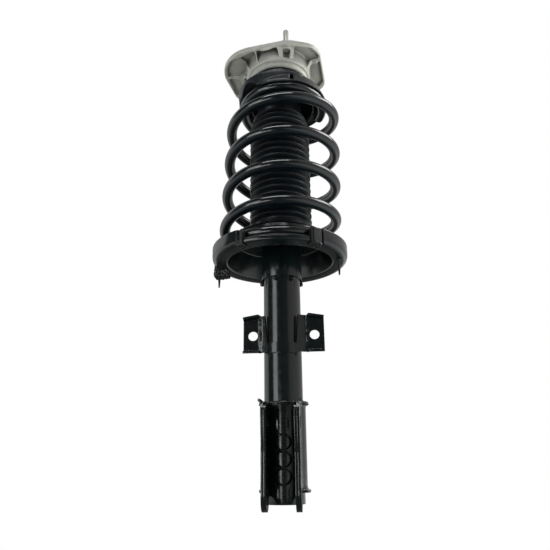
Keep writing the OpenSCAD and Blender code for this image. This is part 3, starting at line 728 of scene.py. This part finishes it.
def make_boot():
    top, neck, last, foot, wall = -62.0, -100.0, -284.0, HAT_TOP + 0.4, 1.8
    folds = []
    per = 16
    for i in range(FOLDS * per + 1):
        t = i / (FOLDS * per)
        wave = 0.5 + 0.5 * math.cos(2 * math.pi * t * FOLDS + math.pi)
        r = BOOT_R - FOLD_DEPTH * (1 - wave ** 0.75)
        r -= 6 * max(0.0, 1 - t / 0.12)
        folds.append((r, neck + (last - neck) * t))
    collar = fillet([(39.5, last - 3, 1), (39.5, foot, 0.8), (31, foot, 0.8), (31, foot + 3, 1),
                     (37.2, foot + 3, 1), (37.2, last - 3, 0.5)], 0.8, closed=False)
    outside = [Vector((33, top)), Vector((35, top)), Vector((35, neck + 4))] + [Vector(p) for p in folds]
    inside = [Vector((r - wall, z)) for r, z in reversed(folds)] + [Vector((33, neck + 4))]

    def sag(r, angle, z):
        soft = noise.noise(Vector((math.cos(angle) * 1.3, math.sin(angle) * 1.3, z * 0.03)))
        return r + 0.35 * soft - 0.15, z

    boot = lathe("boot_bellows", outside + collar + inside, segments=128, move=sag)
    place_piece(boot, "spring_seat", "boot_rubber", ["dust_boot"])
    squash_with_travel(boot)


# ---------------------------------------------------------------- lower spring seat

WALL_GAP = (-122.0, -49.0)
CLIP_R = 99.4
# Slots in the rubber's end clips: angle, width, depth and lower end
CLIP_SLOTS = ((-118.0, 4.2, 3.0, -339.0), (-51.2, 2.2, 3.5, -350.0), (-59.6, 1.6, 1.6, -350.0))


def make_lower_seat():
    floor = SEAT_BOTTOM + SHEET

    def wall_height(angle):
        """Height of the outer wall's top edge: low where the wire's end comes out."""
        degrees = (math.degrees(angle) + 180) % 360 - 180
        inside = min(degrees - WALL_GAP[0], WALL_GAP[1] - degrees)
        return WALL_TOP + (floor + 3.9 - WALL_TOP) * step01((inside + 1.0) / 3.5)

    def section(angle):
        top = wall_height(angle)
        bowl = min(7.5, max(0.6, top - floor - 0.2))
        return fillet([(SEAT_R, top, 1.4), (SEAT_R, SEAT_BOTTOM, 10.5), (75.1, SEAT_BOTTOM, 4.0),
                       (66.2, HAT_TOP - SHEET, 3.5), (27.0, HAT_TOP - SHEET, 0.2), (27.0, HAT_TOP, 0.2),
                       (68.6, HAT_TOP, 6.5), (74.6, floor, 1.6), (SEAT_R - SHEET, floor, bowl),
                       (SEAT_R - SHEET, top, 1.4)], 1.0, steps=6)

    segments = 216
    points, faces = [], []
    for i in range(segments):
        angle = 2 * math.pi * i / segments
        for r, z in section(angle):
            shift = SEAT_SHIFT * step01((r - 27) / 30)
            wave = 0.25 * noise.noise(Vector((math.cos(angle) * 2, math.sin(angle) * 2, 0.3)))
            wave *= step01((r - 60) / 30)
            points.append((shift + r * math.cos(angle), r * math.sin(angle), z + wave))
    rows = len(points) // segments
    for i in range(segments):
        j = (i + 1) % segments
        faces += [(i * rows + k, j * rows + k, j * rows + (k + 1) % rows, i * rows + (k + 1) % rows)
                  for k in range(rows)]
    dish = new_object("dish", points, faces)
    sleeve_in, sleeve_out, sleeve_low = TUBE_R + 0.05, TUBE_R + SHEET, -367.5
    sleeve = lathe("sleeve", fillet([(sleeve_in, sleeve_low, 0.2), (sleeve_out, sleeve_low, 0.3),
                                     (sleeve_out, HAT_TOP - 1.5, 0.5), (sleeve_out, HAT_TOP, 0.8),
                                     (sleeve_in, HAT_TOP, 0.8)], 0.8))
    fold_top = HAT_TOP - SHEET + 0.3
    fold = lathe("fold", fillet([(TUBE_R + 2.5, HAT_TOP - SHEET - 3.5, 0.3), (TUBE_R + 6.5, fold_top, 0.2),
                                 (TUBE_R + 2.5, fold_top, 0.2)], 0.3))
    seat = merge("lower_dish", [dish, sleeve, fold])
    place_piece(seat, "damper", "black_paint", ["lower_spring_seat"])

    make_lower_rubber()


def make_lower_rubber():
    """The pad the wire lies on, with its end clips, and a torn lump under the rim's left side."""
    plan = [polar(r, a) + Vector((SEAT_SHIFT, 0)) for a in (166.5, 175.0) for r in (91.0, 97.6)]
    corners = [(p.x, p.y, z) for z in (-345.0, -334.0) for p in plan]
    sides = [(0, 1, 3, 2), (4, 6, 7, 5), (0, 4, 5, 1), (1, 5, 7, 3), (3, 7, 6, 2), (2, 6, 4, 0)]
    fill = new_object("fill", corners, sides)
    pad = cast("lower_rubber", [cad_copy("pad", "lower_isolator"), fill], 0.6, 3, 1.0)
    for vertex in pad.data.vertices:
        spot = vertex.co / MM
        ragged = step01((-spot.z - 341) / 4) * step01((spot.z + 356) / 2)
        vertex.co += 1.1 * MM * ragged * noise.noise_vector(spot * 0.35)
        out = Vector((spot.x - SEAT_SHIFT, spot.y))
        for angle, width, deep, low_z in CLIP_SLOTS:
            across = abs(math.atan2(out.y, out.x) - math.radians(angle)) * out.length
            depth = deep * step01(width / 2 + 0.5 - across) * step01((spot.z - low_z) / 1.5)
            limit = CLIP_R - depth
            if depth > 0 and out.length > limit:
                vertex.co.x = (SEAT_SHIFT + out.x * limit / out.length) * MM
                vertex.co.y = out.y * limit / out.length * MM
    modify(pad, "DECIMATE", ratio=0.4)
    tidy(pad, 60)
    place_piece(pad, "damper", "black_rubber", ["lower_isolator"])


def around_tube(radius, start, end, z, step=2.0):
    count = max(3, int(abs(end - start) / step))
    return [(*polar(radius, start + (end - start) * k / count), z) for k in range(count + 1)]


def make_welds():
    seat = [bead(f"seat_bead_{a}", around_tube(TUBE_R + 2.4, a - 6, a + 6, -370.5, 0.8), 5.0,
                 ripple=2.0, seed=a * 0.1)
            for a in (-106, -54, 20, 72, 124, 176)]
    place_piece(merge("seat_welds", seat, 60), "damper", "black_paint", ["seat_weld"])
    bracket = [bead("front_bead", around_tube(TUBE_R + 1.0, -127, -53, -538.6), 2.3, seed=3.1),
               bead("back_bead", around_tube(TUBE_R + 1.0, 20, 160, BRACKET_TOP + 1.6), 2.2, seed=7.7)]
    place_piece(merge("bracket_welds", bracket, 60), "damper", "black_paint", ["bracket_weld"])


# ---------------------------------------------------------------- strut tube and what closes it

def make_tube():
    low, high = (v.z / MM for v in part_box("strut_tube"))
    outline = fillet([(TUBE_IN, low, 0.6), (TUBE_R, low, 1.0), (TUBE_R, high, 1.6), (TUBE_IN - 6, high, 0.4),
                      (TUBE_IN - 6, high - 1, 0.3), (TUBE_IN, high - 1, 0.6)], 0.5)
    rows = []
    for a, b in zip(outline, outline[1:] + outline[:1]):
        parts = max(1, int(abs(b[1] - a[1]) / 6))
        rows += [a.lerp(b, k / parts) for k in range(parts)]
    place_piece(lathe("outer_tube", rows, segments=128), "damper", "black_paint", ["strut_tube"])
    cup = lathe("end_cup", fillet([(0, -650, 0), (TUBE_IN - 0.02, -650, 0.5), (TUBE_IN - 0.02, -658, 0.8),
                                   (TUBE_IN - 4, -658, 1.2), (TUBE_IN - 4.6, -655.5, 1.5), (0, -655, 0)], 1.0,
                                  closed=False), closed=False)
    place_piece(cup, "damper", "black_paint", ["base_cup"])


# ---------------------------------------------------------------- link bracket

def make_link_bracket():
    r, ear_y = TUBE_R + SHEET / 2, -13.5
    left, right = LINK_SHIFT - 54.5, LINK_SHIFT + 54.5
    root = 31.5
    bend = [polar(r, a) for a in np.linspace(-138, -54, 40)]
    line = spaced(fillet([(left, ear_y), (LINK_SHIFT - root, ear_y, 3)] + [tuple(p) + (0,) for p in bend]
                         + [(LINK_SHIFT + root - 1, ear_y, 3), (right, ear_y)], 0, closed=False), 1.3)

    def low(p):
        return LINK_BOTTOM - 2 * step01((24 - abs(p.x)) / 4)

    def high(p):
        inside = min(p.x + 22.0, 22.0 - p.x)
        outer = max(0.0, abs(p.x - LINK_SHIFT) - root) / (right - LINK_SHIFT - root)
        return LINK_TOP - 4.0 * outer + (LINK_BOTTOM + 11 - LINK_TOP) * step01(inside / 2.5)

    def flange(p):
        return 9.5 * step01((abs(p.x - LINK_SHIFT) - root + 1) / 4)

    def wrinkle(p, z):
        """The sheet is puckered where the ears are bent away from the tube."""
        near = math.exp(-((abs(p.x - LINK_SHIFT) - root) / 1.8) ** 2)
        rough = noise.noise(Vector((p.x * 0.12, z * 0.11, 1.7)))
        rough += 0.5 * noise.noise(Vector((p.x * 0.3, z * 0.27, 4.2)))
        return near * (0.9 + 1.4 * rough)

    band = strap("link_strap", line, low, high, SHEET, -1, rows=44,
                 curl_top=flange, curl_low=flange, curl=3.5, push=wrinkle)
    for side in (-1, 1):
        bored(band, (LINK_SHIFT + side * LINK_HOLE_X, ear_y, LINK_HOLE_Z), (0, 1, 0), LINK_HOLE_R, 12)
    tidy(band, 50)
    place_piece(band, "damper", "black_paint", ["link_bracket"])


# ---------------------------------------------------------------- knuckle bracket

def ear_high(top):
    """Upper edge over a point of the plan line: level, with a round front corner."""
    def edge(p):
        ahead = min(13.6, max(0.0, EAR_FRONT + 14 - p.y)) if p.y < EAR_FRONT + 14 else 0.0
        return top - 14 + math.sqrt(196 - ahead * ahead)
    return edge


def ear_notch(p, z):
    """The flanges' front edge is set back between the two bolts."""
    depth = 4 * min(max((-560 - z) / 40, 0.0), 1.0) - 2 * min(max((-610 - z) / 36, 0.0), 1.0)
    return (0.0, depth * min(1.0, max(0.0, (-48 - p.y) / 22)))


def ear_low(p):
    """Lower edge: round about the lower hole, then rising to the wrap's edge."""
    y = p.y + ear_notch(p, HOLE_ZS[1])[1]
    if y < HOLE_Y + 9:
        return HOLE_ZS[1] - math.sqrt(max(0.0, 18.0 ** 2 - (y - HOLE_Y) ** 2))
    return HOLE_ZS[1] - 15.6 + (WRAP_BOTTOM - HOLE_ZS[1] + 15.6) * min(1.0, (y - HOLE_Y - 9) / 25)


def closer_at_front(line):
    """More points where the flanges' ends are rounded."""
    made = [line[0]]
    for a, b in zip(line, line[1:]):
        parts = 3 if min(a.y, b.y) < -58 else 1
        made += [a.lerp(b, (k + 1) / parts) for k in range(parts)]
    return made


def make_knuckle_bracket():
    gap = KNUCKLE_GAP / 2
    r_wrap = TUBE_R + PLATE / 2 + 0.05

    # The outer plate goes round the back of the tube, its flanges lying on the inner one's
    x = gap + PLATE * 1.5 + 0.02
    meet = math.degrees(math.acos(-x / r_wrap))
    start = 360 - meet
    back = [tuple(polar(r_wrap, a)) + (0,) for a in np.linspace(start, -(start - 180), 70)]
    corners = [(-x, EAR_FRONT), (-x, back[0][1] - 1.5, 4.0)] + back[1:-1]
    corners += [(x, back[-1][1] - 1.5, 4.0), (x, EAR_FRONT)]
    line = closer_at_front(spaced(fillet(corners, 0, closed=False), 1.8))

    def wave(p, z):
        return 0.35 * noise.noise(Vector((p.x * 0.03, p.y * 0.06, z * 0.05))) * step01((-18 - p.y) / 14)

    outer = strap("bracket_outer", line, ear_low, ear_high(BRACKET_TOP), PLATE, 1, rows=56,
                  curl_top=lambda p: 5.5 * step01((p.y + 68) / 9),
                  curl_low=lambda p: 5.5 * step01((p.y + 18) / 5),
                  curl=6.0, push=wave, shift=ear_notch, edge=1.5)

    # The inner plate closes the front, between the flanges
    x = gap + PLATE / 2
    inner_top = -540.0
    reach = math.degrees(math.asin((x - 1.0) / r_wrap))
    front = [tuple(polar(r_wrap, a)) + (0,) for a in np.linspace(-90 - reach, -90 + reach, 40)]
    corners = [(-x, EAR_FRONT), (-x, front[0][1] + 1.5, 2.2)] + front[1:-1]
    corners += [(x, front[-1][1] + 1.5, 2.2), (x, EAR_FRONT)]
    line = closer_at_front(spaced(fillet(corners, 0, closed=False), 1.2))

    def relief(p, z):
        if p.y < -28.5 or abs(p.x) > 14:
            return 0.0
        along = math.degrees(math.atan2(p.x, -p.y)) * math.pi / 180 * r_wrap
        raised = max(step01((10.4 - math.hypot(along, z - level)) / 2.3) for level in (-587, -607.3, -627.6))
        return -0.7 * raised

    inner = strap("bracket_inner", line, ear_low, ear_high(inner_top), PLATE, 1, rows=150,
                  push=relief, shift=ear_notch, edge=1.5)
    for part in (outer, inner):
        for z in HOLE_ZS:
            bored(part, (0, HOLE_Y, z), (1, 0, 0), HOLE_R, 120)
        tidy(part, 50)
    place_piece(outer, "damper", "black_paint", ["knuckle_bracket_outer"])
    place_piece(inner, "damper", "black_paint", ["knuckle_bracket_inner"])


# ---------------------------------------------------------------- put together

for piece in frame["record"]["subparts"]:
    node = nodes[piece["node"]]
    node.data.materials.clear()
    node.data.materials.append(finish[piece["material_slot"]])

make_camera()
make_stage()
make_mount()
make_rod()
make_upper_seat()
make_coil()
make_boot()
make_lower_seat()
make_welds()
make_tube()
make_link_bracket()
make_knuckle_bracket()

scene.view_settings.view_transform = "Standard"
